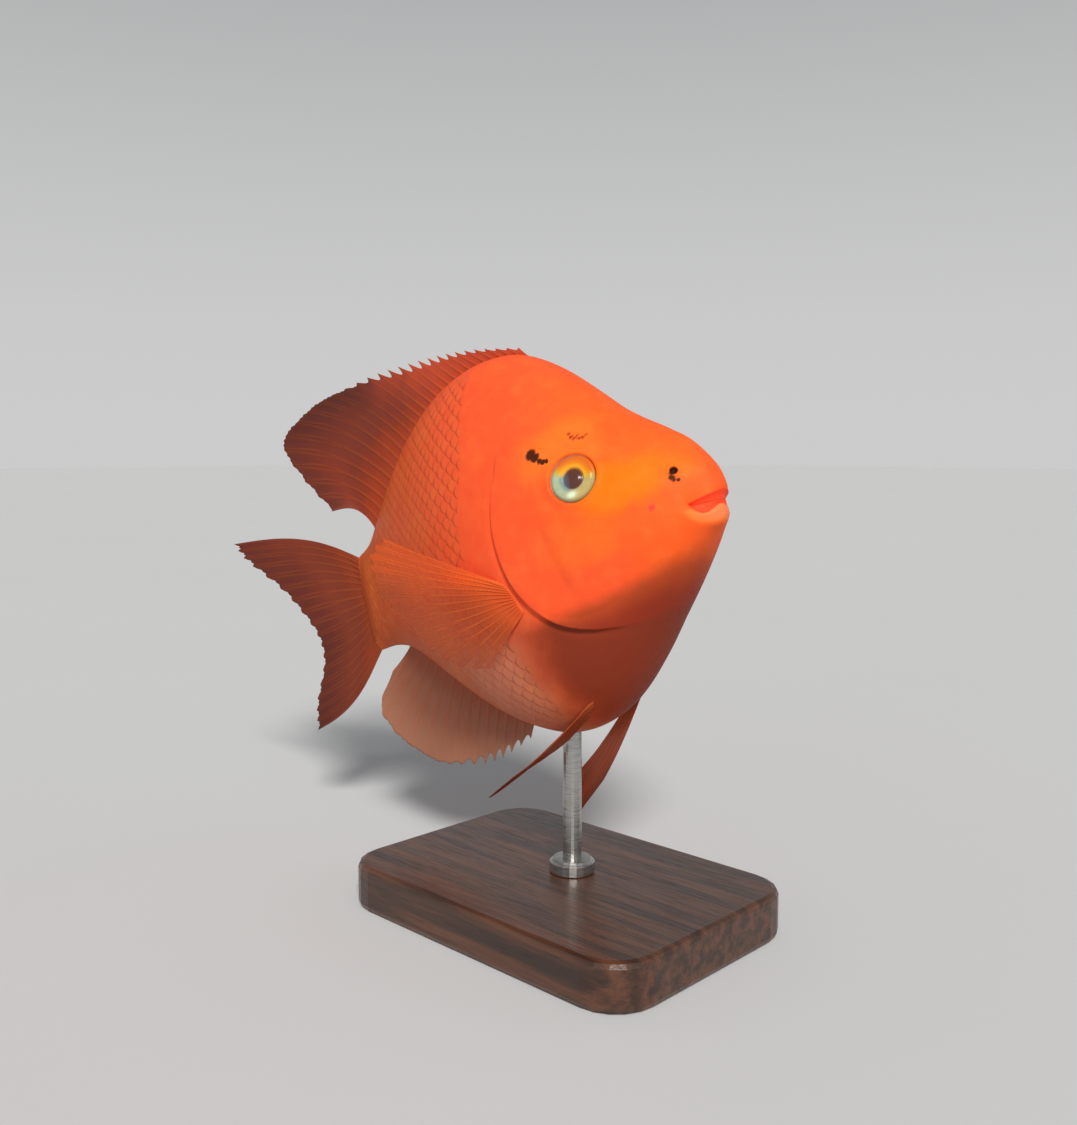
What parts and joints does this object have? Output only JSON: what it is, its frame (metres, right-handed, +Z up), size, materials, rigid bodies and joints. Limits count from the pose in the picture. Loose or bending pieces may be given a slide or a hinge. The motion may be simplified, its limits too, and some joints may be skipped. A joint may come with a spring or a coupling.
{
  "type": "blood parrot cichlid display model",
  "caption": "Life-size blood parrot cichlid with deep rounded body, small open mouth and spread fins, held over a flat base by one short rod.",
  "frame": {"origin": "centre of the stand base's underside", "axes": "+X towards the head along the base's length, +Y the fish's left, +Z up from the floor"},
  "size_m": [0.1962, 0.07, 0.1508],
  "materials": {
    "skin": "satin, like wet skin",
    "fins": "thin and slightly translucent",
    "eye": "polished",
    "stand_wood": "satin stained",
    "stand_steel": "brushed"
  },
  "bodies": {
    "root": {"head": "skin", "torso": "skin", "tail_stalk": "skin", "dorsal_fin": "fins", "anal_fin": "fins", "caudal_fin_lower": "fins", "caudal_fin_upper": "fins", "pectoral_fin_left": "fins", "pectoral_fin_right": "fins", "pelvic_fin_left": "fins", "pelvic_fin_right": "fins", "eye_left": "eye", "eye_right": "eye", "stand_base": "stand_wood", "stand_rod": "stand_steel"}
  },
  "joints": []
}
